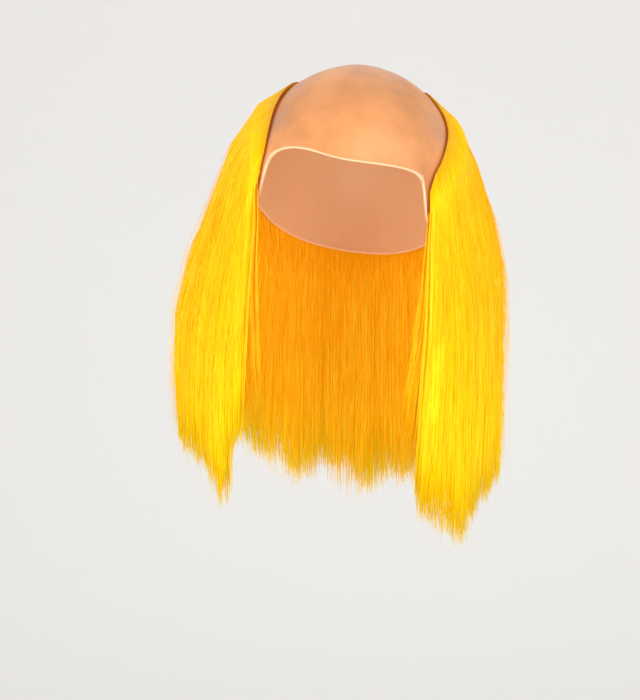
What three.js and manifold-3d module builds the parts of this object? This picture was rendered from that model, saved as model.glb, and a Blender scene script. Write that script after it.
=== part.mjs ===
// A clown wig: a thin latex bald cap with long straight hair hung round its sides and back.
// Millimetres, +Z up, the face looks along -Y and +X is at the right of the front view.
// The origin is the inside top of the cap, where it sits on the crown of a head.
import * as THREE from 'three';
import { mergeVertices } from 'three/addons/utils/BufferGeometryUtils.js';
import Module from 'manifold-3d';

const wasm = await Module();
wasm.setup();

const { degToRad, lerp, clamp, smoothstep } = THREE.MathUtils;

// The cap, as an egg-shaped dome measured over its outer face
const capHalfBreadth = 84;
const capHalfLength = 103;
const capHalfHeight = 95;
const latexWall = 1.2;
const rimRoll = 1.8;
const rimRollStand = 0.4;
const dentDepth = 2.2;
// The cap is worn leaning, with its crown toward +X, while the hair hangs straight down
const wornTilt = degToRad(8.5);

// The stitched edge that the hair is sewn to
const seamThickness = 1.2;
const fitClearance = 0.3;
const rootClearance = 0.5;

// The hair
const hairLength = 350;
const rootDepth = 3.2;
const crownBulk = 11;
const bulkRise = 46;
const reachLeft = 131;
const reachRight = 121;
const reachBack = 124;
const hangShift = -5;
const settleLeft = 215;
const settleRight = 150;
const settlePower = 2.2;
const layerGap = 2.8;
const liftRun = 14;
const underStart = 26;
const hairClearance = 1.6;
const headerHeight = 10;
const headerDepth = 0.5;

// How finely each form is made
const capTurnSteps = 54;
const capDownSteps = 7;
const cornerPull = degToRad(5.7);
const seamSteps = 54;
const seamSides = 5;
const lockSides = 6;
const headerSteps = 6;
const mergeDistance = 1e-3;
const alongStep = 1e-3;

// The lower edge of the cap: its angle down from the crown at each angle round from the face, on
// the left and on the right of the front view
const rimRows = [
  { azimuth: 0, left: 81.9, right: 81.9 },
  { azimuth: 10, left: 81.1, right: 81.7 },
  { azimuth: 20, left: 79.4, right: 81.4 },
  { azimuth: 32, left: 79.2, right: 81.6 },
  { azimuth: 38, left: 80.5, right: 82.7 },
  { azimuth: 42, left: 82.2, right: 85.2 },
  { azimuth: 46, left: 86, right: 97 },
  { azimuth: 50, left: 102, right: 103 },
  { azimuth: 55, left: 104.5, right: 104.5 },
  { azimuth: 62, left: 103, right: 103 },
  { azimuth: 74, left: 96, right: 96 },
  { azimuth: 90, left: 92, right: 92 },
  { azimuth: 108, left: 98, right: 98 },
  { azimuth: 128, left: 109, right: 109 },
  { azimuth: 152, left: 116, right: 116 },
  { azimuth: 180, left: 118, right: 118 },
];

// Soft hollows and rises in the latex: where they lie, how far they spread and a share of dentDepth
const dentRows = [
  { azimuth: -48, polar: 52, spread: 15, depth: 0.7 },
  { azimuth: -12, polar: 58, spread: 20, depth: 0.45 },
  { azimuth: 40, polar: 60, spread: 14, depth: 0.7 },
  { azimuth: 22, polar: 24, spread: 13, depth: 0.5 },
  { azimuth: -60, polar: 30, spread: 12, depth: 0.4 },
  { azimuth: 175, polar: 30, spread: 16, depth: 0.5 },
  { azimuth: 8, polar: 71, spread: 7, depth: -0.4 },
  { azimuth: -30, polar: 70, spread: 8, depth: -0.5 },
];

// Sections of the hair from a temple to the middle of the back: where the seam lies on the left and
// on the right of the cap, as angles round from the face and down from the crown, the angle that
// the hair falls at, and its inner and outer faces as shares of its reach
const sectionRows = [
  { leftRound: 49.2, leftDown: 90, rightRound: 46, rightDown: 88.5, fall: 41, inner: 0.735, outer: 0.875 },
  { leftRound: 49, leftDown: 80.5, rightRound: 48.5, rightDown: 81, fall: 47, inner: 0.72, outer: 0.9 },
  { leftRound: 52, leftDown: 70.5, rightRound: 54, rightDown: 74, fall: 54, inner: 0.705, outer: 0.92 },
  { leftRound: 57.5, leftDown: 61.5, rightRound: 60.5, rightDown: 66, fall: 63, inner: 0.69, outer: 0.943 },
  { leftRound: 64.5, leftDown: 53, rightRound: 69, rightDown: 57, fall: 73, inner: 0.68, outer: 0.97 },
  { leftRound: 73, leftDown: 45.5, rightRound: 77, rightDown: 47.5, fall: 84, inner: 0.68, outer: 0.99 },
  { leftRound: 84, leftDown: 40.5, rightRound: 83.5, rightDown: 38.5, fall: 97, inner: 0.685, outer: 1 },
  { leftRound: 98, leftDown: 38, rightRound: 95, rightDown: 32.5, fall: 111, inner: 0.69, outer: 1 },
  { leftRound: 114, leftDown: 38.5, rightRound: 112, rightDown: 32.5, fall: 125, inner: 0.7, outer: 1 },
  { leftRound: 130, leftDown: 40.5, rightRound: 130, rightDown: 36, fall: 139, inner: 0.715, outer: 1 },
  { leftRound: 147, leftDown: 43.5, rightRound: 147, rightDown: 40.5, fall: 153, inner: 0.735, outer: 1 },
  { leftRound: 164, leftDown: 45.7, rightRound: 164, rightDown: 44.5, fall: 166.5, inner: 0.75, outer: 1 },
  { leftRound: 180, leftDown: 46.5, rightRound: 180, rightDown: 46.5, fall: 180, inner: 0.755, outer: 1 },
];

// Each lock from its root to its tip: shares of its full width and depth
const lockRings = [
  { down: 0, width: 0.96, depth: 0.9 },
  { down: 0.07, width: 1, depth: 1 },
  { down: 0.16, width: 1, depth: 1 },
  { down: 0.29, width: 1, depth: 1 },
  { down: 0.53, width: 0.98, depth: 0.98 },
  { down: 0.76, width: 0.8, depth: 0.84 },
  { down: 0.9, width: 0.52, depth: 0.6 },
  { down: 1, width: 0.1, depth: 0.14 },
];

// The wefts: the stretch of the seam that each one takes, as shares from the left temple to the
// right one, and its locks, each with its middle and half its width along the seam, its tip's level
// as a share of the hair's length, and how far the tip strays along the seam and in to the neck
const weftRows = [
  {
    name: 'top_weft_left',
    layer: 'top',
    start: 0,
    end: 0.361,
    locks: [
      { at: 0.023, half: 0.023, tip: 0.8, stray: 0.002, inward: 0 },
      { at: 0.056, half: 0.032, tip: 0.925, stray: 0.002, inward: 0 },
      { at: 0.092, half: 0.032, tip: 0.865, stray: -0.006, inward: 0 },
      { at: 0.129, half: 0.032, tip: 0.84, stray: 0, inward: 0 },
      { at: 0.167, half: 0.032, tip: 0.815, stray: 0.002, inward: 0 },
      { at: 0.206, half: 0.032, tip: 0.79, stray: 0, inward: 0 },
      { at: 0.246, half: 0.032, tip: 0.795, stray: -0.004, inward: 0 },
      { at: 0.287, half: 0.032, tip: 0.81, stray: 0, inward: 0 },
      { at: 0.328, half: 0.032, tip: 0.83, stray: -0.004, inward: 0 },
    ],
  },
  {
    name: 'top_weft_back',
    layer: 'top',
    start: 0.364,
    end: 0.636,
    locks: [
      { at: 0.396, half: 0.031, tip: 0.85, stray: 0.002, inward: 0 },
      { at: 0.438, half: 0.034, tip: 0.9, stray: -0.004, inward: 0 },
      { at: 0.48, half: 0.034, tip: 0.87, stray: 0.004, inward: 0 },
      { at: 0.522, half: 0.034, tip: 0.93, stray: 0, inward: 0 },
      { at: 0.564, half: 0.034, tip: 0.89, stray: 0.004, inward: 0 },
      { at: 0.605, half: 0.03, tip: 0.91, stray: 0, inward: 0 },
    ],
  },
  {
    name: 'top_weft_right',
    layer: 'top',
    start: 0.639,
    end: 1,
    locks: [
      { at: 0.672, half: 0.032, tip: 0.87, stray: 0.004, inward: 0 },
      { at: 0.713, half: 0.032, tip: 0.86, stray: 0, inward: 0 },
      { at: 0.754, half: 0.032, tip: 0.855, stray: 0.004, inward: 0 },
      { at: 0.795, half: 0.032, tip: 0.88, stray: 0, inward: 0 },
      { at: 0.834, half: 0.032, tip: 0.915, stray: -0.004, inward: 0 },
      { at: 0.873, half: 0.032, tip: 0.945, stray: 0.004, inward: 0 },
      { at: 0.91, half: 0.031, tip: 1, stray: 0, inward: 0.5 },
      { at: 0.945, half: 0.029, tip: 0.955, stray: 0, inward: 1.3 },
      { at: 0.975, half: 0.025, tip: 0.985, stray: 0.004, inward: 2.4 },
    ],
  },
  {
    name: 'under_weft_left',
    layer: 'under',
    start: 0.006,
    end: 0.36,
    locks: [
      { at: 0.05, half: 0.044, tip: 0.71, stray: 0, inward: 2 },
      { at: 0.126, half: 0.055, tip: 0.75, stray: 0, inward: 0 },
      { at: 0.213, half: 0.058, tip: 0.72, stray: 0, inward: 0 },
      { at: 0.303, half: 0.056, tip: 0.74, stray: 0, inward: 0 },
    ],
  },
  {
    name: 'under_weft_back',
    layer: 'under',
    start: 0.365,
    end: 0.635,
    locks: [
      { at: 0.419, half: 0.05, tip: 0.76, stray: 0, inward: 0 },
      { at: 0.5, half: 0.054, tip: 0.79, stray: 0, inward: 0 },
      { at: 0.581, half: 0.05, tip: 0.77, stray: 0, inward: 0 },
    ],
  },
  {
    name: 'under_weft_right',
    layer: 'under',
    start: 0.64,
    end: 0.994,
    locks: [
      { at: 0.698, half: 0.057, tip: 0.76, stray: 0, inward: 0 },
      { at: 0.787, half: 0.058, tip: 0.77, stray: 0, inward: 0 },
      { at: 0.875, half: 0.055, tip: 0.8, stray: 0, inward: 2 },
      { at: 0.951, half: 0.042, tip: 0.8, stray: 0, inward: 5.5 },
    ],
  },
];

// A table read anywhere between its rows, on a smooth curve through them
const smoothTable = (rows, key, columns) => {
  const curve = new THREE.CubicInterpolant(
    rows.map((row) => row[key]),
    rows.flatMap((row) => columns.map((column) => row[column])),
    columns.length,
  );
  return (place) => {
    const values = curve.evaluate(place);
    return Object.fromEntries(columns.map((column, index) => [column, values[index]]));
  };
};

const readRim = smoothTable(rimRows, 'azimuth', ['left', 'right']);

// The cap's own frame, before it leans
const capMiddle = new THREE.Vector3(0, 0, latexWall - capHalfHeight);
const capHalves = new THREE.Vector3(capHalfBreadth, capHalfLength, capHalfHeight);

// A point on the cap's outer face, lifted off it by some millimetres; angles are in degrees
const capPoint = (azimuth, polar, lift = 0) => {
  const turn = degToRad(azimuth);
  const lean = degToRad(polar);
  const unit = new THREE.Vector3(
    Math.sin(lean) * Math.sin(turn),
    -Math.sin(lean) * Math.cos(turn),
    Math.cos(lean),
  );
  const normal = unit.clone().divide(capHalves).normalize();
  return unit.multiply(capHalves).addScaledVector(normal, lift).add(capMiddle);
};

// How deep the latex is pressed in at a place on the cap
const capDent = (azimuth, polar) => {
  let sunk = 0;
  for (const row of dentRows) {
    const round = THREE.MathUtils.euclideanModulo(azimuth - row.azimuth + 180, 360) - 180;
    const across = round * Math.sin(degToRad(polar));
    const away = Math.hypot(across, polar - row.polar) / row.spread;
    sunk += row.depth * dentDepth * Math.exp(-away * away);
  }
  return sunk;
};

// Moves every vertex of a geometry, then keeps only the positions, with shared vertices merged
const reshape = (geometry, place) => {
  const position = geometry.attributes.position;
  const vertex = new THREE.Vector3();
  for (let index = 0; index < position.count; index += 1) {
    vertex.fromBufferAttribute(position, index);
    const moved = place(vertex);
    position.setXYZ(index, moved.x, moved.y, moved.z);
  }
  geometry.deleteAttribute('normal');
  geometry.deleteAttribute('uv');
  return mergeVertices(geometry, mergeDistance);
};

const finish = (geometry) => {
  geometry.computeVertexNormals();
  return geometry;
};

const toManifold = (geometry) => new wasm.Manifold(new wasm.Mesh({
  numProp: 3,
  vertProperties: new Float32Array(geometry.attributes.position.array),
  triVerts: new Uint32Array(geometry.index.array),
}));

const fromManifold = (solid) => {
  const mesh = solid.getMesh();
  const geometry = new THREE.BufferGeometry();
  geometry.setAttribute('position', new THREE.BufferAttribute(new Float32Array(mesh.vertProperties), 3));
  geometry.setIndex(new THREE.BufferAttribute(new Uint32Array(mesh.triVerts), 1));
  return finish(geometry);
};

const piece = (name, geometry, colour, roughness) => {
  const material = new THREE.MeshStandardMaterial({ color: colour, roughness, metalness: 0 });
  const mesh = new THREE.Mesh(geometry, material);
  mesh.name = name;
  return mesh;
};

// The bald cap: a turned skin whose radius is its share of the way down to the rim, and whose
// height is its lift off the outer face, bent over the dome and closed by a rolled edge. Its
// columns are drawn closer together at the temples, where the rim turns sharply down
const makeCap = () => {
  const rollShare = rimRoll / (degToRad(rimRows[0].left) * capHalfHeight);
  const outer = [];
  const inner = [];
  for (let step = 0; step <= capDownSteps; step += 1) {
    const share = (step / capDownSteps) * (1 - rollShare);
    outer.push(new THREE.Vector2(share, 0));
    inner.unshift(new THREE.Vector2(share, -latexWall));
  }
  const roll = [
    new THREE.Vector2(1 - rollShare * 0.75, rimRollStand),
    new THREE.Vector2(1 - rollShare * 0.25, rimRollStand),
    new THREE.Vector2(1, -latexWall / 2),
    new THREE.Vector2(1 - rollShare * 0.25, -latexWall - rimRollStand),
    new THREE.Vector2(1 - rollShare * 0.75, -latexWall - rimRollStand),
  ];
  const skin = new THREE.LatheGeometry([...outer, ...roll, ...inner].reverse(), capTurnSteps);
  return finish(reshape(skin, (vertex) => {
    const turn = Math.atan2(vertex.x, vertex.z);
    const azimuth = THREE.MathUtils.radToDeg(turn + cornerPull * Math.sin(4 * turn));
    const rim = readRim(Math.abs(azimuth));
    const polar = Math.hypot(vertex.x, vertex.z) * (azimuth < 0 ? rim.left : rim.right);
    return capPoint(azimuth, polar, vertex.y - capDent(azimuth, polar));
  }));
};

// The sections of both sides in one list, from the left temple round the back to the right one
const leftSections = sectionRows.map((row) => ({
  ...row,
  azimuth: -row.leftRound,
  polar: row.leftDown,
  fall: -row.fall,
}));
const rightSections = sectionRows.slice(0, -1).reverse().map((row) => ({
  ...row,
  azimuth: row.rightRound - 360,
  polar: row.rightDown,
  fall: row.fall - 360,
}));
const sections = [...leftSections, ...rightSections]
  .map((row, index, rows) => ({ ...row, along: index / (rows.length - 1) }));
const readSection = smoothTable(sections, 'along', ['azimuth', 'polar', 'fall', 'inner', 'outer']);

// The seam on the cap, in the cap's own frame, at a share of the way from temple to temple
const seamPoint = (along, lift) => {
  const { azimuth, polar } = readSection(along);
  return capPoint(azimuth, polar, lift - capDent(azimuth, polar));
};

const makeSeam = () => {
  const rows = [];
  for (let step = 0; step <= seamSteps; step += 1) {
    rows.push(seamPoint(step / seamSteps, seamThickness / 2 + fitClearance));
  }
  const radius = seamThickness / 2;
  const section = new THREE.Shape();
  for (let side = 0; side < seamSides; side += 1) {
    const turn = (side / seamSides) * Math.PI * 2;
    const corner = new THREE.Vector2(radius * Math.cos(turn), radius * Math.sin(turn));
    if (side === 0) section.moveTo(corner.x, corner.y);
    else section.lineTo(corner.x, corner.y);
  }
  const cord = new THREE.ExtrudeGeometry(section, {
    steps: seamSteps,
    extrudePath: new THREE.CatmullRomCurve3(rows),
    bevelEnabled: false,
  });
  return finish(reshape(cord, (vertex) => vertex));
};

// The leaning cap and the frame that the hair hangs in
const lean = new THREE.Matrix4().makeRotationY(wornTilt);
const unlean = lean.clone().invert();
const hangX = capMiddle.clone().applyMatrix4(lean).x + hangShift;

// Pushes a point out of the leaning cap until it is some millimetres off its outer face
const clearOfCap = (point, lift) => {
  const local = point.clone().applyMatrix4(unlean).sub(capMiddle);
  const halves = capHalves.clone().addScalar(lift);
  const share = local.clone().divide(halves).length();
  if (share < 1) local.divideScalar(share);
  return local.add(capMiddle).applyMatrix4(lean);
};

// The root of the hair, a little past the seam on the side that the hair grows from
const rootPoint = (along) => {
  const here = seamPoint(along, 0);
  const ahead = seamPoint(Math.min(along + alongStep, 1), 0);
  const behind = seamPoint(Math.max(along - alongStep, 0), 0);
  const run = ahead.sub(behind).normalize();
  const normal = here.clone().sub(capMiddle).divide(capHalves).divide(capHalves).normalize();
  const aside = run.cross(normal).negate();
  return here.addScaledVector(aside, seamThickness / 2 + rootClearance).applyMatrix4(lean);
};

// The inner and outer faces of the hair at a place along the seam and a level
const hairFaces = (along, level) => {
  const root = rootPoint(along);
  const { fall, inner, outer } = readSection(along);
  const turn = degToRad(fall);
  const sideways = Math.sin(turn);
  const reach = sideways < 0 ? reachLeft : reachRight;
  const settle = lerp(settleLeft, settleRight, smoothstep(sideways, -1, 1));
  const drop = Math.max(root.z - level, 0);
  const settled = 1 - (1 - clamp(drop / settle, 0, 1)) ** settlePower;
  const face = (share, lift) => {
    const x = lerp(root.x, hangX + reach * share * sideways, settled);
    const y = lerp(root.y, -reachBack * share * Math.cos(turn), settled);
    return clearOfCap(new THREE.Vector3(x, y, level), lift);
  };
  const bulk = lerp(rootDepth, crownBulk, smoothstep(drop, 0, bulkRise));
  return { near: face(inner, hairClearance), far: face(outer, hairClearance + bulk), drop };
};

// A point in one layer of the hair: across runs from -1 at its inner face to 1 at its outer face
const hairPoint = (layer, along, across, level) => {
  const { near, far, drop } = hairFaces(along, level);
  const depth = near.distanceTo(far);
  const lifted = smoothstep(drop, 0, liftRun);
  const split = 0.5 * lifted;
  const gap = (layerGap / 2) / depth;
  const low = layer === 'top' ? split + gap * lifted : 0;
  const high = layer === 'top' ? 1 : split - gap;
  return near.lerp(far, lerp(low, high, (across + 1) / 2));
};

// The level of the root of a layer: the under layer starts lower, beneath the top one
const rootLevel = (layer, along) => rootPoint(along).z - (layer === 'top' ? 0 : underStart);

const makeLock = (weft, lock) => {
  const rings = lockRings.length - 1;
  const blank = new THREE.CylinderGeometry(1, 1, 1, lockSides, rings, false, Math.PI / 2);
  return toManifold(reshape(blank, (vertex) => {
    const ring = lockRings[Math.round((0.5 - vertex.y) * rings)];
    const along = lock.at + lock.stray * ring.down ** 2 + lock.half * ring.width * vertex.x;
    const level = lerp(rootLevel(weft.layer, along), -hairLength * lock.tip, ring.down);
    const across = -vertex.z * ring.depth - lock.inward * ring.down ** 2;
    return hairPoint(weft.layer, along, across, level);
  }));
};

// The sewn header strip along the root of a weft, fused with its locks
const makeHeader = (weft) => {
  const blank = new THREE.BoxGeometry(1, 1, 1, headerSteps, 1, 1);
  return toManifold(reshape(blank, (vertex) => {
    const along = lerp(weft.start, weft.end, vertex.x + 0.5);
    const level = rootLevel(weft.layer, along) - (0.5 - vertex.y) * headerHeight;
    return hairPoint(weft.layer, along, -2 * vertex.z * headerDepth, level);
  }));
};

// The leaning egg that the hair is cut back from, so that it clears the cap and its rolled edge
const swellSides = 24;
const makeSwell = () => {
  const halves = capHalves.clone().addScalar(fitClearance + rimRollStand);
  const radius = 1 / Math.cos(Math.PI / swellSides) ** 2;
  const egg = new THREE.SphereGeometry(radius, swellSides, swellSides / 2);
  return toManifold(reshape(egg, (vertex) => (
    vertex.clone().multiply(halves).add(capMiddle).applyMatrix4(lean)
  )));
};
const swell = makeSwell();

const makeWeft = (weft) => {
  let solid = makeHeader(weft);
  for (const lock of weft.locks) solid = solid.add(makeLock(weft, lock));
  return fromManifold(solid.subtract(swell));
};

const wig = new THREE.Group();
const head = new THREE.Group();
head.rotation.y = wornTilt;
head.add(piece('bald_cap', makeCap(), 0xf2ab70, 0.55));
head.add(piece('weft_seam', makeSeam(), 0x8c2a18, 0.8));
wig.add(head);
for (const weft of weftRows) {
  const colour = weft.layer === 'top' ? 0xfdd010 : 0xf8ae1c;
  wig.add(piece(weft.name, makeWeft(weft), colour, 0.6));
}

export default wig;
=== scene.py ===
import math

import bpy
import numpy as np
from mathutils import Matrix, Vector


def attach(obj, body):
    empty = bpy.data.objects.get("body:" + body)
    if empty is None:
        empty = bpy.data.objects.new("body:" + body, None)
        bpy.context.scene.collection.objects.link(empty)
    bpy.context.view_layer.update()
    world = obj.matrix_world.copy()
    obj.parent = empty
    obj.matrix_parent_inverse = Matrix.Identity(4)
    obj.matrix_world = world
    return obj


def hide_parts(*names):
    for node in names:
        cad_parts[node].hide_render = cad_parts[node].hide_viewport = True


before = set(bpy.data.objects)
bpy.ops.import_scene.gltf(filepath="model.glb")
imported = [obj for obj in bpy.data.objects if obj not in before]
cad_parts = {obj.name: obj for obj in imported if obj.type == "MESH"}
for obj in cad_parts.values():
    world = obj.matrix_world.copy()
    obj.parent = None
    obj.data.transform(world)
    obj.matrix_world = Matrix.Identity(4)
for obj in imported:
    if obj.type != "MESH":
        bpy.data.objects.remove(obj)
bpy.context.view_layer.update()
print("clown wig: frame loaded")

mm = 0.001


# small helpers for colours, nodes and selection
def hexColour(text):
    channels = [int(text[i:i + 2], 16) / 255 for i in (1, 3, 5)]
    linear = [c / 12.92 if c <= 0.04045 else ((c + 0.055) / 1.055) ** 2.4 for c in channels]
    return (*linear, 1.0)


def addNode(tree, kind, links=(), values=(), stops=(), **settings):
    # links pairs an input with a socket, values with a value; stops are those of a colour ramp
    node = tree.nodes.new(kind)
    for name, value in settings.items():
        setattr(node, name, value)
    for name, value in values:
        node.inputs[name].default_value = value
    for name, socket in links:
        tree.links.new(socket, node.inputs[name])
    if stops:
        elements = node.color_ramp.elements
        while len(elements) < len(stops):
            elements.new(0.5)
        for element, (place, colour) in zip(elements, stops):
            element.position = place
            element.color = hexColour(colour)
    return node


def newMaterial(name):
    material = bpy.data.materials.new(name)
    material.use_nodes = True
    tree = material.node_tree
    return material, tree, tree.nodes["Principled BSDF"]


def deselectAll():
    for item in bpy.context.selected_objects:
        item.select_set(False)


def makeActive(item):
    deselectAll()
    item.select_set(True)
    bpy.context.view_layer.objects.active = item


def linkMesh(name, mesh):
    item = bpy.data.objects.new(name, mesh)
    bpy.context.scene.collection.objects.link(item)
    return item


def applyModifier(item, kind, **settings):
    makeActive(item)
    modifier = item.modifiers.new(kind.lower(), kind)
    for name, value in settings.items():
        setattr(modifier, name, value)
    bpy.ops.object.modifier_apply(modifier=modifier.name)


def readPlaces(mesh):
    # the points of a mesh in millimetres
    places = np.empty(len(mesh.vertices) * 3)
    mesh.vertices.foreach_get("co", places)
    return places.reshape(-1, 3) / mm


def awayFrom(places, line):
    # how far each place is from the nearest point of a line
    away = np.full(len(places), np.inf)
    for point in line:
        away = np.minimum(away, np.linalg.norm(places - point, axis=1))
    return away


def copyOfNode(name, pieceName):
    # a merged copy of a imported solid, to be worked on
    item = linkMesh(pieceName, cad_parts[name].data.copy())
    makeActive(item)
    bpy.ops.object.mode_set(mode="EDIT")
    bpy.ops.mesh.select_all(action="SELECT")
    bpy.ops.mesh.remove_doubles(threshold=1e-5)
    bpy.ops.object.mode_set(mode="OBJECT")
    return item


triangleCounts = []


def finishPiece(item, material, slotName, *nodeNames):
    item.data.materials.clear()
    item.data.materials.append(material)
    item.data.calc_loop_triangles()
    triangleCounts.append(len(item.data.loop_triangles))
    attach(item, "root")
    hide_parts(*nodeNames)


# sizes of the wig in millimetres, the same as its solids have
wig = {
    "capHalves": (84, 103, 95),
    "latexWall": 1.2,
    "rimRoll": 1.8,
    "wornTilt": math.radians(8.5),
    "seamThickness": 1.2,
    "rootClearance": 0.5,
    "hairLength": 350,
    "rootDepth": 3.2,
    "crownBulk": 11,
    "bulkRise": 46,
    "reachLeft": 131,
    "reachRight": 121,
    "reachBack": 124,
    "hangShift": -5,
    "settleLeft": 215,
    "settleRight": 150,
    "settlePower": 2.2,
    "liftRun": 14,
    "underStart": 26,
    "hairClearance": 1.6,
    "rootLie": 0.5,  # how far off the latex the strands start
    "rootRise": 9,  # how far below the seam the strands have risen to their full depth
}

# the cap's edge: angle round from the face, and angle down on the left and on the right
rimRows = [
    (0, 81.9, 81.9),
    (10, 81.1, 81.7),
    (20, 79.4, 81.4),
    (32, 79.2, 81.6),
    (38, 80.5, 82.7),
    (42, 82.2, 85.2),
    (46, 86, 97),
    (50, 102, 103),
    (55, 104.5, 104.5),
    (62, 103, 103),
    (74, 96, 96),
    (90, 92, 92),
    (108, 98, 98),
    (128, 109, 109),
    (152, 116, 116),
    (180, 118, 118),
]

# the hair from a temple to the middle of the back: the seam round and down on the left, the same
# on the right, the angle that the hair falls at, and its inner and outer shares of the reach
sectionRows = [
    (49.2, 90, 46, 88.5, 41, 0.735, 0.875),
    (49, 80.5, 48.5, 81, 47, 0.72, 0.9),
    (52, 70.5, 54, 74, 54, 0.705, 0.92),
    (57.5, 61.5, 60.5, 66, 63, 0.69, 0.943),
    (64.5, 53, 69, 57, 73, 0.68, 0.97),
    (73, 45.5, 77, 47.5, 84, 0.68, 0.99),
    (84, 40.5, 83.5, 38.5, 97, 0.685, 1),
    (98, 38, 95, 32.5, 111, 0.69, 1),
    (114, 38.5, 112, 32.5, 125, 0.7, 1),
    (130, 40.5, 130, 36, 139, 0.715, 1),
    (147, 43.5, 147, 40.5, 153, 0.735, 1),
    (164, 45.7, 164, 44.5, 166.5, 0.75, 1),
    (180, 46.5, 180, 46.5, 180, 0.755, 1),
]

# the wefts: the share of strands on the inner side, how far they hang below the locks, and the
# locks: middle along the seam, half width, tip level, stray and inward
wefts = {
    "top_weft_left": {
        "layer": "top", "start": 0, "end": 0.361,
        "innerShare": 0.3, "hangBelow": 0.03,
        "locks": [
            (0.023, 0.023, 0.8, 0.002, 0),
            (0.056, 0.032, 0.925, 0.002, 0),
            (0.092, 0.032, 0.865, -0.006, 0),
            (0.129, 0.032, 0.84, 0, 0),
            (0.167, 0.032, 0.815, 0.002, 0),
            (0.206, 0.032, 0.79, 0, 0),
            (0.246, 0.032, 0.795, -0.004, 0),
            (0.287, 0.032, 0.81, 0, 0),
            (0.328, 0.032, 0.83, -0.004, 0),
        ],
    },
    "top_weft_back": {
        "layer": "top", "start": 0.364, "end": 0.636,
        "innerShare": 0.5, "hangBelow": 0.03,
        "locks": [
            (0.396, 0.031, 0.85, 0.002, 0),
            (0.438, 0.034, 0.9, -0.004, 0),
            (0.48, 0.034, 0.87, 0.004, 0),
            (0.522, 0.034, 0.93, 0, 0),
            (0.564, 0.034, 0.89, 0.004, 0),
            (0.605, 0.03, 0.91, 0, 0),
        ],
    },
    "top_weft_right": {
        "layer": "top", "start": 0.639, "end": 1,
        "innerShare": 0.3, "hangBelow": 0.03,
        "locks": [
            (0.672, 0.032, 0.87, 0.004, 0),
            (0.713, 0.032, 0.86, 0, 0),
            (0.754, 0.032, 0.855, 0.004, 0),
            (0.795, 0.032, 0.88, 0, 0),
            (0.834, 0.032, 0.915, -0.004, 0),
            (0.873, 0.032, 0.945, 0.004, 0),
            (0.91, 0.031, 1, 0, 0.5),
            (0.945, 0.029, 0.978, 0, 2.4),
            (0.975, 0.025, 0.95, 0.004, 4.2),
        ],
    },
    "under_weft_left": {
        "layer": "under", "start": 0.006, "end": 0.36,
        "innerShare": 0.7, "hangBelow": 0.12,
        "locks": [
            (0.05, 0.044, 0.71, 0, 2),
            (0.126, 0.055, 0.75, 0, 0),
            (0.213, 0.058, 0.72, 0, 0),
            (0.303, 0.056, 0.74, 0, 0),
        ],
    },
    "under_weft_back": {
        "layer": "under", "start": 0.365, "end": 0.635,
        "innerShare": 0.75, "hangBelow": 0.22,
        "locks": [
            (0.419, 0.05, 0.76, 0, 0),
            (0.5, 0.054, 0.79, 0, 0),
            (0.581, 0.05, 0.77, 0, 0),
        ],
    },
    "under_weft_right": {
        "layer": "under", "start": 0.64, "end": 0.994,
        "innerShare": 0.7, "hangBelow": 0.12,
        "locks": [
            (0.698, 0.057, 0.76, 0, 0),
            (0.787, 0.058, 0.77, 0, 0),
            (0.875, 0.055, 0.8, 0, 2),
            (0.951, 0.042, 0.8, 0, 5.5),
        ],
    },
}

capHalves = np.array(wig["capHalves"], float)
capMiddle = np.array([0, 0, wig["latexWall"] - capHalves[2]])
cosTilt = math.cos(wig["wornTilt"])
sinTilt = math.sin(wig["wornTilt"])
leanMatrix = np.array([[cosTilt, 0, sinTilt], [0, 1, 0], [-sinTilt, 0, cosTilt]])
hangX = (leanMatrix @ capMiddle)[0] + wig["hangShift"]


def smoothStep(value, low, high):
    share = np.clip((value - low) / (high - low), 0, 1)
    return share * share * (3 - 2 * share)


def blend(start, end, share):
    return start + (end - start) * share


def allSections():
    left = [(-a, p, -f, i, o) for a, p, _, _, f, i, o in sectionRows]
    right = [(a - 360, p, f - 360, i, o) for _, _, a, p, f, i, o in sectionRows[-2::-1]]
    return np.array(left + right, float)


sections = allSections()


def readSection(along):
    # a cubic through the sections, with slopes from the neighbours on both sides
    last = len(sections) - 1
    place = np.clip(along, 0, 1) * last
    first = np.minimum(place.astype(int), last - 1)
    share = (place - first)[..., None]
    before = sections[np.maximum(first - 1, 0)]
    here = sections[first]
    after = sections[first + 1]
    beyond = sections[np.minimum(first + 2, last)]
    slopeHere = (after - before) / 2
    slopeAfter = (beyond - here) / 2
    square = share ** 2
    cube = share ** 3
    values = (
        here * (2 * cube - 3 * square + 1)
        + slopeHere * (cube - 2 * square + share)
        + after * (3 * square - 2 * cube)
        + slopeAfter * (cube - square)
    )
    return [values[..., column] for column in range(values.shape[-1])]


def capPoint(azimuth, polar, lift):
    # a point on the egg before it leans
    turn = np.radians(azimuth)
    down = np.radians(polar)
    unit = np.stack([np.sin(down) * np.sin(turn), -np.sin(down) * np.cos(turn), np.cos(down)], -1)
    normal = unit / capHalves
    normal /= np.linalg.norm(normal, axis=-1, keepdims=True)
    return unit * capHalves + normal * np.asarray(lift)[..., None] + capMiddle


def clearOfCap(points, lift):
    # pushes points out of the leaning egg until they are some millimetres off it
    local = points @ leanMatrix - capMiddle
    share = np.linalg.norm(local / (capHalves + np.asarray(lift)[..., None]), axis=-1)
    local = local / np.minimum(share, 1)[..., None]
    return (local + capMiddle) @ leanMatrix.T


def seamLine(along, lift):
    azimuth, polar = readSection(along)[:2]
    return capPoint(azimuth, polar, np.full_like(azimuth, lift))


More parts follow.
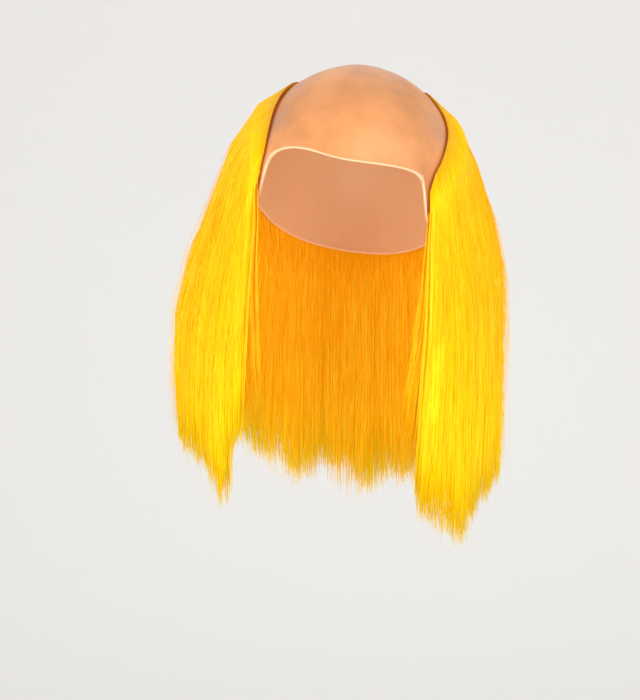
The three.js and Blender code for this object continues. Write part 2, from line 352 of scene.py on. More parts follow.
def rootPoint(along):
    step = 1e-3
    here = seamLine(along, 0)
    run = seamLine(np.minimum(along + step, 1), 0) - seamLine(np.maximum(along - step, 0), 0)
    aside = -np.cross(run, (here - capMiddle) / capHalves ** 2)
    aside /= np.linalg.norm(aside, axis=-1, keepdims=True)
    return (here + aside * (wig["seamThickness"] / 2 + wig["rootClearance"])) @ leanMatrix.T


rootTable = np.linspace(0, 1, 400)
rootPlaces = rootPoint(rootTable)


def readRoot(along):
    return np.stack([np.interp(along, rootTable, rootPlaces[:, axis]) for axis in range(3)], -1)


def hairPoint(layer, along, across, level):
    # across runs from -1 at the inner face of a layer to 1 at its outer face
    root = readRoot(along)
    fall, inner, outer = readSection(along)[2:]
    turn = np.radians(fall)
    sideways = np.sin(turn)
    reach = np.where(sideways < 0, wig["reachLeft"], wig["reachRight"])
    settle = blend(wig["settleLeft"], wig["settleRight"], smoothStep(sideways, -1, 1))
    drop = np.maximum(root[..., 2] - level, 0)
    settled = 1 - (1 - np.clip(drop / settle, 0, 1)) ** wig["settlePower"]
    # the strands start flat beside the seam and rise to the depth of the solid
    risen = smoothStep(drop, -1, wig["rootRise"])
    bulk = blend(wig["rootDepth"], wig["crownBulk"], smoothStep(drop, 0, wig["bulkRise"]))
    lift = blend(wig["rootLie"], wig["hairClearance"], risen)

    def face(share, away):
        x = blend(root[..., 0], hangX + reach * share * sideways, settled)
        y = blend(root[..., 1], -wig["reachBack"] * share * np.cos(turn), settled)
        return clearOfCap(np.stack([x, y, level], -1), away)

    near = face(inner, lift)
    far = face(outer, lift + bulk * risen)
    lifted = smoothStep(drop, 0, wig["liftRun"])
    low = 0.5 * lifted if layer == "top" else 0
    high = 1 if layer == "top" else 0.5
    share = blend(low, high, (across + 1) / 2)
    return near + (far - near) * share[..., None]


# the cap
capLook = {
    "subdivisions": 2,
    "joinAngle": 40,  # degrees up to which two triangles become one four-sided face
    "insideDeeper": 0.7,  # mm
    "skin": "#d8935a",
    "skinPale": "#e29e66",
    "skinDeep": "#c58450",
    "mottleSize": 42,  # mm across a cloud of colour in the dipped latex
    "poreSize": 1.3,  # mm, coarser than real latex grain so that it shows
    "puckerSize": 18.2,  # mm between the soft unevennesses of the thin sheet
    "stainAndShade": "#b58d7c",
    # shares of a spot's radius: how ragged the clouds make it, and where it fades
    "spotRagged": 1.2,
    "spotFade": (0.6, 2.1),
    # where the thin latex looks greyish, and on the crown painted shade that darkens the top of
    # the
    # cap: round, down, radius in mm, strength
    "stainsAndShade": [
        (-60, 44, 17, 0.5), (-53, 67, 16, 0.55), (60, 58, 20, 0.38), (10, 6, 28, 0.6),
    ],
    # painted highlight: a pale line on the rolled edge where it catches the light
    "rim": "#f7cba4",
    "rimHighlight": (0.5, 0.95),  # shares of the rim's roll over which the pale line fades
    # painted light: paler than the skin, it lifts the shade inside the hollow as light through the
    # thin latex would
    "inside": "#f2cfa8",
    "insideShare": 0.85,  # how far that colour covers the clouds and stains
}


def latexMaterial():
    # natural rubber latex, dipped over a former: soft satin skin, cloudy where it is thin
    # with painted shade on the crown, a painted highlight along the rim and painted light inside
    # the hollow
    material, tree, shader = newMaterial("dippedLatexSkin")
    place = addNode(tree, "ShaderNodeTexCoord").outputs["Object"]
    cloud = addNode(
        tree, "ShaderNodeTexNoise", [("Vector", place)],
        [("Scale", 1000 / capLook["mottleSize"]), ("Detail", 3.0), ("Roughness", 0.55)],
    ).outputs["Fac"]
    colour = addNode(
        tree, "ShaderNodeValToRGB", [("Fac", cloud)],
        stops=[(0.3, capLook["skinDeep"]), (0.5, capLook["skin"]), (0.68, capLook["skinPale"])],
    ).outputs["Color"]
    fadeStart, fadeEnd = capLook["spotFade"]
    # greyish clouds of the thin latex; the spot on the crown is painted shade that darkens the top
    for around, down, radius, strength in capLook["stainsAndShade"]:
        centre = capPoint(np.array(around), np.array(down), np.array(0.0)) @ leanMatrix.T * mm
        away = addNode(
            tree, "ShaderNodeVectorMath", [(0, place)], [(1, tuple(centre))], operation="DISTANCE",
        ).outputs["Value"]
        ragged = addNode(
            tree, "ShaderNodeMath", [(0, cloud), (2, away)],
            [(1, radius * mm * capLook["spotRagged"])], operation="MULTIPLY_ADD",
        ).outputs["Value"]
        spot = addNode(
            tree, "ShaderNodeMapRange", [("Value", ragged)],
            [("From Min", radius * mm * fadeStart), ("From Max", radius * mm * fadeEnd),
             ("To Min", strength), ("To Max", 0.0)],
            interpolation_type="SMOOTHSTEP",
        ).outputs["Result"]
        colour = addNode(
            tree, "ShaderNodeMix", [(0, spot), (6, colour)], [(7, hexColour(capLook["stainAndShade"]))],
            data_type="RGBA",
        ).outputs[2]
    marks = addNode(tree, "ShaderNodeAttribute", attribute_name="marks").outputs["Color"]
    parts = addNode(tree, "ShaderNodeSeparateColor", [("Color", marks)])
    # the painted light inside the hollow, then the painted highlight along the rim
    for channel, tint in (("Green", "inside"), ("Red", "rim")):
        colour = addNode(
            tree, "ShaderNodeMix", [(0, parts.outputs[channel]), (6, colour)],
            [(7, hexColour(capLook[tint]))], data_type="RGBA",
        ).outputs[2]
    tree.links.new(colour, shader.inputs["Base Color"])
    pores = addNode(
        tree, "ShaderNodeTexNoise", [("Vector", place)],
        [("Scale", 1000 / capLook["poreSize"]), ("Detail", 2.0)],
    ).outputs["Fac"]
    grain = addNode(
        tree, "ShaderNodeBump", [("Height", pores)], [("Strength", 0.1), ("Distance", 0.0002)],
    )
    puckers = addNode(
        tree, "ShaderNodeTexNoise", [("Vector", place)],
        [("Scale", 1000 / capLook["puckerSize"]), ("Detail", 1.0)],
    ).outputs["Fac"]
    folds = addNode(
        tree, "ShaderNodeBump", [("Height", puckers), ("Normal", grain.outputs["Normal"])],
        [("Strength", 0.12), ("Distance", 0.003)],
    )
    tree.links.new(folds.outputs["Normal"], shader.inputs["Normal"])
    shader.inputs["Roughness"].default_value = 0.48
    shader.inputs["IOR"].default_value = 1.52
    shader.inputs["Specular IOR Level"].default_value = 0.35
    shader.inputs["Subsurface Weight"].default_value = 0.25
    shader.inputs["Subsurface Radius"].default_value = (1.0, 0.45, 0.25)
    shader.inputs["Subsurface Scale"].default_value = 0.003
    return material


def readRim(turns, column):
    # the smooth curve through the rows of one side
    rows = np.array(rimRows, float)
    places = rows[:, 0]
    values = rows[:, column]
    steps = np.diff(places)
    slopes = np.diff(values) / steps
    slopes = np.concatenate([slopes[:1], (slopes[1:] + slopes[:-1]) / 2, slopes[-1:]])
    first = np.clip(np.searchsorted(places, turns) - 1, 0, len(steps) - 1)
    share = (turns - places[first]) / steps[first]
    square = share ** 2
    cube = share ** 3
    return (
        values[first] * (2 * cube - 3 * square + 1)
        + slopes[first] * steps[first] * (cube - 2 * square + share)
        + values[first + 1] * (3 * square - 2 * cube)
        + slopes[first + 1] * steps[first] * (cube - square)
    )


def markRim(item):
    # red marks the painted highlight along the rolled edge, green the inside of the cap, painted
    # paler as light in the hollow
    places = readPlaces(item.data)
    normals = np.array([vertex.normal for vertex in item.data.vertices])
    middle = capMiddle @ leanMatrix.T
    turns = np.linspace(0, 180, 900)
    inWall = np.full_like(turns, -wig["latexWall"] / 2)
    left = capPoint(-turns, readRim(turns, 1), inWall)
    right = capPoint(turns, readRim(turns, 2), inWall)
    away = awayFrom(places, np.concatenate([left, right]) @ leanMatrix.T)
    lineStart, lineEnd = [share * wig["rimRoll"] for share in capLook["rimHighlight"]]
    marks = np.zeros((len(places), 4))
    marks[:, 0] = 1 - smoothStep(away, lineStart, lineEnd)
    marks[:, 1] = capLook["insideShare"] * ((normals * (places - middle)).sum(axis=1) < 0)
    marks[:, 3] = 1
    attribute = item.data.color_attributes.new("marks", "FLOAT_COLOR", "POINT")
    attribute.data.foreach_set("color", marks.ravel())


def deepenInside(item):
    # keeps the inner face of the thin wall well behind the outer one at the temples
    places = readPlaces(item.data)
    normals = np.array([vertex.normal for vertex in item.data.vertices])
    outward = places - capMiddle @ leanMatrix.T
    outward /= np.linalg.norm(outward, axis=1, keepdims=True)
    inward = np.clip(-(normals * outward).sum(axis=1, keepdims=True), 0, 1)
    places -= outward * inward * capLook["insideDeeper"]
    item.data.vertices.foreach_set("co", (places * mm).ravel())
    item.data.update()


def makeCap():
    cap = copyOfNode("bald_cap", "bald_cap_skin")
    bpy.ops.object.mode_set(mode="EDIT")
    bpy.ops.mesh.select_all(action="SELECT")
    flatEnough = math.radians(capLook["joinAngle"])
    bpy.ops.mesh.tris_convert_to_quads(face_threshold=flatEnough, shape_threshold=flatEnough)
    bpy.ops.object.mode_set(mode="OBJECT")
    levels = capLook["subdivisions"]
    applyModifier(cap, "SUBSURF", levels=levels, render_levels=levels)
    bpy.ops.object.shade_smooth()
    deepenInside(cap)
    markRim(cap)
    return cap


finishPiece(makeCap(), latexMaterial(), "latex", "bald_cap")
print("cap done")

# the stitched edge that the hair hangs from
seamLook = {
    "thread": "#d0451f",
    "threadDark": "#962c15",
    "cordInset": 0.4,  # mm on every face, which leaves a thin cord under the stitches
    "stitchEvery": 1.9,
    "stitchLength": 1.2,
    "stitchWidth": 0.45,
    "stitchDip": 0.6,  # how far the ends of a stitch go down to the latex
    "stitchHeight": 0.9,  # mm off the latex
    "stitchLean": (0.2, 0.7),
    "stitchStretch": (0.8, 1.25),
    "fibreSize": 2,  # mm, a clump of thread fibres, drawn coarse so that it shows
}


def seamMaterial():
    # spun polyester sewing thread, matt and dark red
    material, tree, shader = newMaterial("polyesterSeamThread")
    place = addNode(tree, "ShaderNodeTexCoord").outputs["Object"]
    noise = addNode(
        tree, "ShaderNodeTexNoise", [("Vector", place)],
        [("Scale", 1000 / seamLook["fibreSize"]), ("Detail", 2.0)],
    ).outputs["Fac"]
    base = addNode(
        tree, "ShaderNodeValToRGB", [("Fac", noise)],
        stops=[(0.35, seamLook["threadDark"]), (0.65, seamLook["thread"])],
    ).outputs["Color"]
    tree.links.new(base, shader.inputs["Base Color"])
    bump = addNode(
        tree, "ShaderNodeBump", [("Height", noise)], [("Strength", 0.4), ("Distance", 0.0004)],
    )
    tree.links.new(bump.outputs["Normal"], shader.inputs["Normal"])
    shader.inputs["Roughness"].default_value = 0.85
    return material


def makeStitch():
    # one short thread, thick in the middle, with both ends bent down
    deselectAll()
    bpy.ops.mesh.primitive_uv_sphere_add(segments=6, ring_count=5, radius=0.5)
    stitch = bpy.context.active_object
    thin = seamLook["stitchWidth"]
    bpy.ops.object.mode_set(mode="EDIT")
    bpy.ops.mesh.select_all(action="SELECT")
    bpy.ops.transform.resize(value=(thin, thin, seamLook["stitchLength"]))
    bpy.ops.object.mode_set(mode="OBJECT")
    for vertex in stitch.data.vertices:
        share = 2 * vertex.co.z / seamLook["stitchLength"]
        vertex.co.y -= seamLook["stitchDip"] * share ** 2
    return stitch


def makeStitches():
    # copies the stitch along the seam, each leaning a little its own way
    random = np.random.default_rng(5)
    stitch = makeStitch()
    shape = readPlaces(stitch.data) * mm  # the stitch is drawn in millimetres
    faces = [tuple(face.vertices) for face in stitch.data.polygons]
    bpy.data.objects.remove(stitch)
    line = seamLine(np.linspace(0, 1, 2000), seamLook["stitchHeight"])
    lengths = np.concatenate([[0], np.cumsum(np.linalg.norm(np.diff(line, axis=0), axis=1))])
    count = int(lengths[-1] / seamLook["stitchEvery"])
    middles = (np.arange(count) + 0.5) / count * lengths[-1]
    centre = np.stack([np.interp(middles, lengths, line[:, axis]) for axis in range(3)], -1)
    ahead = np.stack([np.interp(middles - 1, lengths, line[:, axis]) for axis in range(3)], -1)
    run = centre - ahead
    run /= np.linalg.norm(run, axis=1, keepdims=True)
    outward = (centre - capMiddle) / capHalves ** 2
    outward /= np.linalg.norm(outward, axis=1, keepdims=True)
    axis = np.cross(run, outward) + run * random.uniform(*seamLook["stitchLean"], (count, 1))
    axis /= np.linalg.norm(axis, axis=1, keepdims=True)
    side = np.cross(outward, axis)
    long = random.uniform(*seamLook["stitchStretch"], count)
    vertices = (
        centre[:, None]
        + shape[None, :, :1] * side[:, None]
        + shape[None, :, 1:2] * outward[:, None]
        + shape[None, :, 2:] * (axis * long[:, None])[:, None]
    )
    vertices = vertices.reshape(-1, 3) @ leanMatrix.T
    allFaces = [
        tuple(corner + number * len(shape) for corner in face)
        for number in range(count) for face in faces
    ]
    mesh = bpy.data.meshes.new("seam_stitches")
    mesh.from_pydata((vertices * mm).tolist(), [], allFaces)
    stitches = linkMesh("seam_stitches", mesh)
    makeActive(stitches)
    bpy.ops.object.mode_set(mode="EDIT")
    bpy.ops.mesh.select_all(action="SELECT")
    bpy.ops.mesh.normals_make_consistent(inside=False)
    bpy.ops.object.mode_set(mode="OBJECT")
    bpy.ops.object.shade_smooth()
    return stitches


threadMaterial = seamMaterial()
seam = copyOfNode("weft_seam", "weft_seam_cord")
applyModifier(seam, "DISPLACE", strength=-seamLook["cordInset"] * mm, mid_level=0)
bpy.ops.object.shade_smooth()
finishPiece(seam, threadMaterial, "seam_thread", "weft_seam")
finishPiece(makeStitches(), threadMaterial, "seam_thread", "weft_seam")
print("seam done")

# the hair
hairLook = {
    "strandWidth": 0.62,  # mm, two or three real fibres, as coarse as it needs to show
    "strandPoints": 8,
    "topStrands": 3700,
    "underStrands": 1900,
    "flyaways": 420,
    "bodyVoxel": 3,
    "bodyInset": {"top": 1.1, "under": 1.6},
    "bodySmooth": 4,
    "bodyCover": 0.2,  # mm of the mass that stays over the latex
    "gather": 0.06,  # how far the strands of a lock draw together at its tip
    # below this level in mm the mass is drawn up by a share, so that only strands reach the tips
    "bodyKnee": {"top": -190, "under": -110},
    "bodyDrawn": {"top": 0.78, "under": 0.62},
    "lockRun": 0.025,  # share of the seam
    "weftOverlap": 0.004,  # share of the seam that the strands reach past their weft's ends
    "rootOver": 0.9,  # share of the way from the hair's edge to the middle of the seam
    "rootLift": 1.3,  # mm off the latex, on top of the cord
    "rootSlope": 0.3,  # how steeply the mass of the hair rises beside the seam
    "pressedRun": (14, 34),  # mm from the seam over which that slope gives way to the solid
    "crownSink": 2.2,  # mm that the mass lies deeper under the strands on the crown
    "crownRun": (60, 110),  # mm from the seam over which that ends
    "glow": {"top": 0.12, "under": 0.16},  # strength of the light that the hair gives off
    "high": "#ffc000",
    "middle": "#ffcc00",
    "low": "#ffdb00",
    "ends": "#ffd904",
    # the under layer is the same yellow fibre painted deeper orange: painted shade for the inner,
    # deeper layers
    "underHigh": "#ffb206",
    "underLow": "#ffc606",
    # dark and light serve the flecks as painted shade and painted highlights, and tint some
    # strands at random
    "dark": "#fcac00",
    "light": "#ffe640",
    "fleckWidth": 1.3,
    "fleckLength": 16,
}


def hairMaterial(name, layer, isBody):
    # drawn synthetic wig fibre: bright yellow, silky, with short painted highlights and painted
    # shade in flecks where strands cross
    material, tree, shader = newMaterial(name)
    place = addNode(tree, "ShaderNodeTexCoord").outputs["Object"]
    level = addNode(tree, "ShaderNodeSeparateXYZ", [("Vector", place)]).outputs["Z"]
    down = addNode(
        tree, "ShaderNodeMapRange", [("Value", level)],
        [("From Min", 0.0), ("From Max", -wig["hairLength"] * mm)],
    ).outputs["Result"]
    stops = [
        (0.05, hairLook["high"]), (0.35, hairLook["middle"]),
        (0.75, hairLook["low"]), (0.97, hairLook["ends"]),
    ]
    # painted shade: the under layer is coloured as the yellow fibre looks in the shade of the
    # layers over it
    if layer == "under":
        stops = [(0.1, hairLook["underHigh"]), (0.8, hairLook["underLow"])]
    colour = addNode(
        tree, "ShaderNodeValToRGB", [("Fac", down)], stops=stops,
    ).outputs["Color"]
    stretched = addNode(
        tree, "ShaderNodeMapping", [("Vector", place)],
        [("Scale", (1, 1, hairLook["fleckWidth"] / hairLook["fleckLength"]))],
    ).outputs["Vector"]
    fleck = addNode(
        tree, "ShaderNodeTexNoise", [("Vector", stretched)],
        [("Scale", 1000 / hairLook["fleckWidth"]), ("Detail", 2.0), ("Roughness", 0.6)],
    ).outputs["Fac"]
    # each tint is laid on where a value runs between two limits, up to a strength
    # the flecks are painted shade and painted highlights where strands cross; the tones tint whole
    # strands at random
    tints = [(fleck, 0.47, 0.3, 0.45, "dark"), (fleck, 0.55, 0.75, 0.6, "light")]
    if not isBody:
        tone = addNode(tree, "ShaderNodeAttribute", attribute_name="tone").outputs["Fac"]
        tints += [(tone, 0.12, 0.0, 0.3, "dark"), (tone, 0.86, 1.0, 0.5, "light")]
    for value, start, full, strength, tint in tints:
        mask = addNode(
            tree, "ShaderNodeMapRange", [("Value", value)],
            [("From Min", start), ("From Max", full), ("To Max", strength)],
        ).outputs["Result"]
        colour = addNode(
            tree, "ShaderNodeMix", [(0, mask), (6, colour)], [(7, hexColour(hairLook[tint]))],
            data_type="RGBA",
        ).outputs[2]
    tree.links.new(colour, shader.inputs["Base Color"])
    if isBody:
        bump = addNode(
            tree, "ShaderNodeBump", [("Height", fleck)], [("Strength", 0.5), ("Distance", 0.0008)],
        )
        tree.links.new(bump.outputs["Normal"], shader.inputs["Normal"])
    shader.inputs["Roughness"].default_value = 0.45
    shader.inputs["IOR"].default_value = 1.5
    shader.inputs["Specular IOR Level"].default_value = 0.12
    # a little light of its own, chosen for the look, lifts the shade between the strands
    tree.links.new(colour, shader.inputs["Emission Color"])
    shader.inputs["Emission Strength"].default_value = hairLook["glow"][layer]
    return material


def tubeMesh(pieceName, lines, radii, tones):
    # closed three-sided tubes along the lines, in metres, each with one tone from 0 to 1
    count, points = lines.shape[:2]
    tangent = np.gradient(lines, axis=1)
    tangent /= np.linalg.norm(tangent, axis=-1, keepdims=True) + 1e-12
    outward = lines - np.array([hangX * mm, 0, 0])
    outward[..., 2] = 0
    side = np.cross(tangent, outward)
    side /= np.linalg.norm(side, axis=-1, keepdims=True) + 1e-12
    front = np.cross(side, tangent)
    corners = []
    for number in range(3):
        turn = math.radians(270 + 120 * number)  # one flat side faces out, which catches the light
        corners.append(lines + radii[..., None] * (math.cos(turn) * side + math.sin(turn) * front))
    vertices = np.stack(corners, axis=2).reshape(-1, 3)
    start = (np.arange(count) * points * 3)[:, None, None]
    ring = (np.arange(points - 1) * 3)[None, :, None]
    corner = np.arange(3)[None, None, :]
    following = (corner + 1) % 3
    quads = np.stack([
        start + ring + corner,
        start + ring + 3 + corner,
        start + ring + 3 + following,
        start + ring + following,
    ], axis=-1).reshape(-1, 4)
    first = start[:, 0] + np.array([[0, 1, 2]])
    last = start[:, 0] + (points - 1) * 3 + np.array([[2, 1, 0]])
    triangles = np.concatenate([first, last])
    mesh = bpy.data.meshes.new(pieceName)
    mesh.vertices.add(len(vertices))
    mesh.vertices.foreach_set("co", vertices.ravel())
    loops = np.concatenate([quads.ravel(), triangles.ravel()])
    mesh.loops.add(len(loops))
    mesh.loops.foreach_set("vertex_index", loops)
    starts = np.concatenate([
        np.arange(len(quads)) * 4,
        len(quads) * 4 + np.arange(len(triangles)) * 3,
    ])
    mesh.polygons.add(len(starts))
    mesh.polygons.foreach_set("loop_start", starts)
    mesh.update(calc_edges=True)
    attribute = mesh.attributes.new("tone", "FLOAT", "POINT")
    attribute.data.foreach_set("value", np.repeat(tones, points * 3))
    mesh.polygons.foreach_set("use_smooth", np.ones(len(starts), bool))
    mesh.validate()
    return linkMesh(pieceName, mesh)


# how the strands of a weft are laid; a run is a pair of shares of the way down a strand
strandShape = {
    "faceDepth": 0.88,  # share of half a layer's depth at which the strands lie
    "depthSpread": 0.12,
    "lockStep": 0.3,  # how far the ends keep to their own lock's level
    "lockPoint": 0.05,  # how much shorter the sides of a lock are
    "unevenCut": 0.1,
    "looseCut": (-0.02, 0.03),
    "pointSpacing": 1.3,  # above 1 the points of a strand lie closer together at its root
    "gatherRun": (0.55, 1.05),
    "wander": 0.0045,  # share of the seam
    "startAbove": {"top": 0.6, "under": 8},  # mm above where the solids of the layer start
    "lockRound": 0.5,
    "lockRoundLeast": 0.1,
    "tipDepth": 0.55,
    "weaveTurns": (2, 4.5),
    "weaveDepth": 0.04,
    "weaveRun": (0, 0.15),
    "looseDepth": 0.45,
    "looseRun": (0.05, 0.5),
    "waver": 0.18,  # mm
    "looseWaver": 0.6,
    "waverRun": (0, 0.3),
    # slow waves: mm of level for a radian, share of the seam's turn, and height in mm
    "seamTurn": 60,
    "sideWaves": [(23, 1, 0.5), (41, -0.6, 0.8)],
    "depthWave": (31, 1.3, 0.8),
    "widths": (0.75, 1.15),
    "looseThinner": 0.5,
    "taper": 0.75,
    "taperRun": (0.82, 1),
}


def inwardShift(along, locks):
    # how far the strands turn inward: never further than their own lock, so that they stay
    # outside the mass, and running evenly from one lock to the next
    averages = []
    for direction in (-1, 1):
        places = along[:, None] + direction * np.linspace(0, hairLook["lockRun"], 9)
        nearest = np.argmin(np.abs(places[..., None] - locks[:, 0]), axis=-1)
        averages.append(locks[nearest, 4].mean(axis=1))
    return np.minimum(*averages)


def growStrands(weft, count, seed, loose=0.0):
    # loose strands are thinner, stand off the outside and waver more
    random = np.random.default_rng(seed)
    shape = strandShape
    layer = weft["layer"]
    locks = np.array(weft["locks"])
    overlap = hairLook["weftOverlap"]
    along = random.uniform(weft["start"] - overlap, weft["end"] + overlap, count)
    along = np.clip(along, 0, 1)
    order = np.argmin(np.abs(along[:, None] - locks[None, :, 0]), axis=1)
    lock = locks[order]
    aside = (along - lock[:, 0]) / lock[:, 1]
    sides = np.where(random.random(count) < weft["innerShare"], -1, 1)
    depth = sides * (shape["faceDepth"] - shape["depthSpread"] * random.random(count) ** 2)

    # the ends follow the locks, rounded off, and are cut unevenly
    tipAt = np.interp(along, locks[:, 0], locks[:, 2])
    tipAt = blend(tipAt, lock[:, 2], shape["lockStep"]) - shape["lockPoint"] * aside ** 2
    shorten = shape["unevenCut"] * random.random(count) ** 2
    shorten -= weft["hangBelow"] * random.random(count)
    looseCut = loose * random.uniform(*shape["looseCut"], count)
    tip = -wig["hairLength"] * tipAt * (1 - shorten + looseCut)

    # where the points of a strand lie along the seam, and their levels
    down = np.linspace(0, 1, hairLook["strandPoints"])[None, :] ** shape["pointSpacing"]
    gather = smoothStep(down, *shape["gatherRun"])
    strayed = (lock[:, 0] + lock[:, 3])[:, None]
    wander = random.normal(0, shape["wander"] * (1 + loose), count)[:, None] * down
    alongs = np.clip(blend(along[:, None], strayed, gather * hairLook["gather"]) + wander, 0, 1)
    solidStart = wig["underStart"] if layer == "under" else 0
    startBelow = solidStart - shape["startAbove"][layer]
    levels = blend(readRoot(along)[:, 2:] - startBelow, tip[:, None], down)

    # how deep they lie, passing in and out between their neighbours
    narrow = 1 - (aside[:, None] * shape["lockRound"]) ** 2
    narrow = np.sqrt(np.clip(narrow, shape["lockRoundLeast"], 1))
    across = depth[:, None] * narrow * blend(1, shape["tipDepth"], gather)
    across = across - inwardShift(along, locks)[:, None] * down ** 2
    turns = random.uniform(*shape["weaveTurns"], count)[:, None]
    phase = random.uniform(0, math.tau, (count, 1))
    weave = np.sin(down * turns * math.tau + phase) * shape["weaveDepth"]
    across = across + weave * smoothStep(down, *shape["weaveRun"])
    standOff = loose * random.uniform(0, shape["looseDepth"], (count, 1))
    across = across + standOff * smoothStep(down, *shape["looseRun"])
    lines = hairPoint(layer, alongs, across, levels)
    if layer == "top":
        # the roots reach over the cord by uneven lengths, so its edge looks jagged
        over = random.uniform(0, hairLook["rootOver"], (count, 1))
        middle = seamLine(along, hairLook["rootLift"]) @ leanMatrix.T
        lines[:, 0] = blend(readRoot(along), middle, over)

    # slow waves that neighbours share, and a small waver of each strand's own
    spread = shape["waver"] + shape["looseWaver"] * loose
    waver = np.cumsum(random.normal(0, spread, lines.shape), axis=1)
    lines = lines + waver * smoothStep(down, *shape["waverRun"])[..., None]
    shared = along[:, None] * shape["seamTurn"]
    for length, turn, height in shape["sideWaves"]:
        lines[..., 0] += np.sin(levels / length + shared * turn) * height * down
    length, turn, height = shape["depthWave"]
    lines[..., 1] += np.cos(levels / length + shared * turn) * height * down

    thinner = 1 - shape["looseThinner"] * loose
    radius = hairLook["strandWidth"] / 2 * random.uniform(*shape["widths"], count) * thinner
    radii = radius[:, None] * (1 - shape["taper"] * smoothStep(down, *shape["taperRun"]))
    tones = random.random(count)
    return lines * mm, radii * mm, tones


def layRoots(body, layer):
    # draws up the ends of the mass, and presses it down to the latex beside the seam
    places = readPlaces(body.data)
    below = np.minimum(places[:, 2] - hairLook["bodyKnee"][layer], 0)
    places[:, 2] -= below * (1 - hairLook["bodyDrawn"][layer])
    away = awayFrom(places, rootPlaces[::4])
    local = places @ leanMatrix - capMiddle
    share = np.linalg.norm(local / capHalves, axis=1)
    height = (share - 1) * capHalves.mean()
    cover = hairLook["bodyCover"]
    pressed = np.minimum(height, cover + hairLook["rootSlope"] * away)
    nearSeam = 1 - smoothStep(away, *hairLook["pressedRun"])
    lowered = blend(height, pressed, nearSeam)
    lowered -= hairLook["crownSink"] * (1 - smoothStep(away, *hairLook["crownRun"]))
    lowered = np.where(height > cover, np.maximum(lowered, cover), height)
    local *= ((1 + lowered / capHalves.mean()) / share)[:, None]
    places = (local + capMiddle) @ leanMatrix.T * mm
    body.data.vertices.foreach_set("co", places.ravel())
    body.data.update()


def makeBody(name, layer):
    body = copyOfNode(name, name + "_body")
    applyModifier(body, "REMESH", mode="VOXEL", voxel_size=hairLook["bodyVoxel"] * mm)
    applyModifier(body, "DISPLACE", strength=-hairLook["bodyInset"][layer] * mm, mid_level=0)
    applyModifier(body, "SMOOTH", factor=0.5, iterations=hairLook["bodySmooth"])
    makeActive(body)
    bpy.ops.object.shade_smooth()
    layRoots(body, layer)
    return body


bodyMaterials = {
    "top": hairMaterial("drawnFibreMassYellow", "top", True),
    "under": hairMaterial("drawnFibreMassShadedOrange", "under", True),
}
strandMaterials = {
    "top": hairMaterial("drawnFibreYellow", "top", False),
    "under": hairMaterial("drawnFibreShadedOrange", "under", False),
}
for seed, (name, weft) in enumerate(wefts.items()):
    layer = weft["layer"]
    slotName = "yellow_hair" if layer == "top" else "orange_hair"
    body = makeBody(name, layer)
    finishPiece(body, bodyMaterials[layer], slotName, name)
    count = hairLook["topStrands"] if layer == "top" else hairLook["underStrands"]
    strands = tubeMesh(name + "_strands", *growStrands(weft, count, 11 + seed))
    finishPiece(strands, strandMaterials[layer], slotName, name)
    if layer == "top":
        loose = growStrands(weft, hairLook["flyaways"], 31 + seed, 1.0)
        finishPiece(tubeMesh(name + "_flyaways", *loose), strandMaterials[layer], slotName, name)
    print(name, "done,", len(body.data.polygons), "body faces")
print("triangles:", sum(triangleCounts), "in all,", max(triangleCounts), "in the largest piece")

# floor, light and camera
stageLook = {
    "floorLevel": -0.75,
    "paper": "#dddcda",
    "paperSize": 8,
    "paperForward": 1.6,
    "paperRise": 4,
    "foldRadius": 1.2,
    "foldSegments": 20,
    "world": "#f9f9fa",
    "worldStrength": 0.8,
    # name, place, what it aims at, size, power in watts and colour
    "lights": [
        ("left", (-1.6, -1.7, -0.15), (0, 0, -0.18), 1.5, 31, "#fffaf2"),
        ("right", (1.6, -1.7, -0.25), (0, 0, -0.18), 1.5, 31, "#fffcf8"),
        ("front", (0.0, -2.3, -0.9), (0, 0, -0.18), 1.0, 30, "#ffffff"),
        ("top", (0.0, 1.0, 1.3), (0, 0, -0.18), 1.4, 5, "#ffffff"),
        ("backdrop", (0.0, 1.0, 1.0), (0, 2.6, -0.3), 1.6, 5, "#ffffff"),
    ],
    "cameraAzimuth": 3.5,
    "cameraDistance": 1.7,
    "sensorHeight": 36,  # mm
    "frameHeight": 0.532,  # metres that the height of the picture takes in at the wig
    "target": (-0.0376, 0, -0.2147),
}


def selectEdges(item, isChosen):
    # picks the edges whose two ends both pass a test of their place
    bpy.context.tool_settings.mesh_select_mode = (False, True, False)
    bpy.ops.object.mode_set(mode="EDIT")
    bpy.ops.mesh.select_all(action="DESELECT")
    bpy.ops.object.mode_set(mode="OBJECT")
    for edge in item.data.edges:
        edge.select = all(isChosen(item.data.vertices[number].co) for number in edge.vertices)
    bpy.ops.object.mode_set(mode="EDIT")


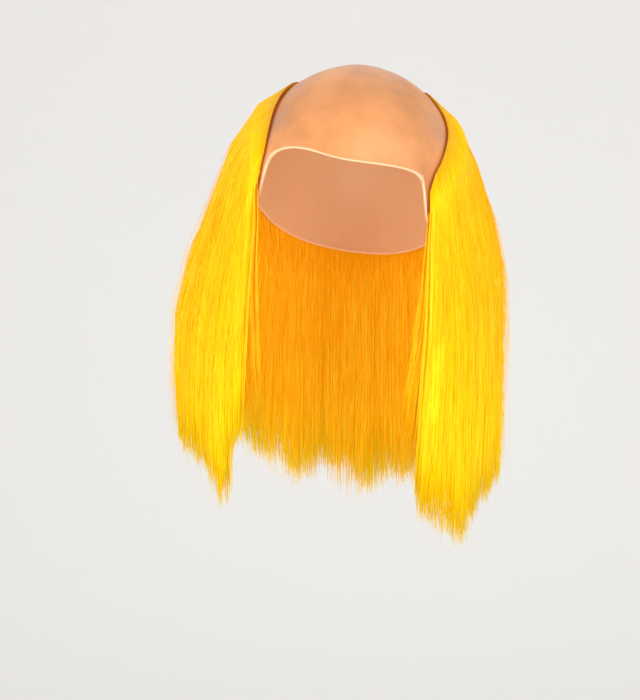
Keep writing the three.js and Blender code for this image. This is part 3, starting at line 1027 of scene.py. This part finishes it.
def makeStage():
    # a paper sweep: a sheet whose far edge is drawn up, with the fold rounded off
    level = stageLook["floorLevel"]
    deselectAll()
    bpy.ops.mesh.primitive_plane_add(
        size=stageLook["paperSize"], location=(0, -stageLook["paperForward"], level),
    )
    paper = bpy.context.active_object
    paper.name = "paper_sweep"
    bpy.ops.object.transform_apply(location=True)
    selectEdges(paper, lambda end: end.y > 0)
    bpy.ops.mesh.extrude_region_move(
        TRANSFORM_OT_translate={"value": (0, 0, stageLook["paperRise"])},
    )
    bpy.ops.object.mode_set(mode="OBJECT")
    selectEdges(paper, lambda end: end.y > 0 and end.z < level + stageLook["paperRise"] / 2)
    bpy.ops.mesh.bevel(
        offset=stageLook["foldRadius"], segments=stageLook["foldSegments"], affect="EDGES",
    )
    bpy.ops.object.mode_set(mode="OBJECT")
    bpy.ops.object.shade_smooth()
    # matt studio background paper, a warm white that spreads the light
    material, tree, shader = newMaterial("matteStudioPaper")
    shader.inputs["Base Color"].default_value = hexColour(stageLook["paper"])
    shader.inputs["Roughness"].default_value = 0.9
    paper.data.materials.append(material)


def makeLights():
    for name, place, target, size, power, colour in stageLook["lights"]:
        deselectAll()
        bpy.ops.object.light_add(type="AREA", location=place)
        light = bpy.context.active_object
        light.name = name
        light.data.size = size
        light.data.energy = power
        light.data.color = hexColour(colour)[:3]
        aim = Vector(target) - Vector(place)
        light.rotation_euler = aim.to_track_quat("-Z", "Y").to_euler()
    world = bpy.data.worlds.new("studio")
    bpy.context.scene.world = world
    world.use_nodes = True
    background = world.node_tree.nodes["Background"]
    background.inputs["Color"].default_value = hexColour(stageLook["world"])
    background.inputs["Strength"].default_value = stageLook["worldStrength"]


def makeCamera():
    deselectAll()
    azimuth = math.radians(stageLook["cameraAzimuth"])
    distance = stageLook["cameraDistance"]
    target = Vector(stageLook["target"])
    place = target + Vector((math.sin(azimuth), -math.cos(azimuth), 0)) * distance
    bpy.ops.object.camera_add(location=place)
    camera = bpy.context.active_object
    camera.rotation_euler = (target - place).to_track_quat("-Z", "Y").to_euler()
    camera.data.sensor_fit = "VERTICAL"
    camera.data.sensor_height = stageLook["sensorHeight"]
    camera.data.lens = stageLook["sensorHeight"] * distance / stageLook["frameHeight"]
    bpy.context.scene.camera = camera


makeStage()
makeLights()
makeCamera()
bpy.context.scene.view_settings.view_transform = "Standard"
print("stage done")
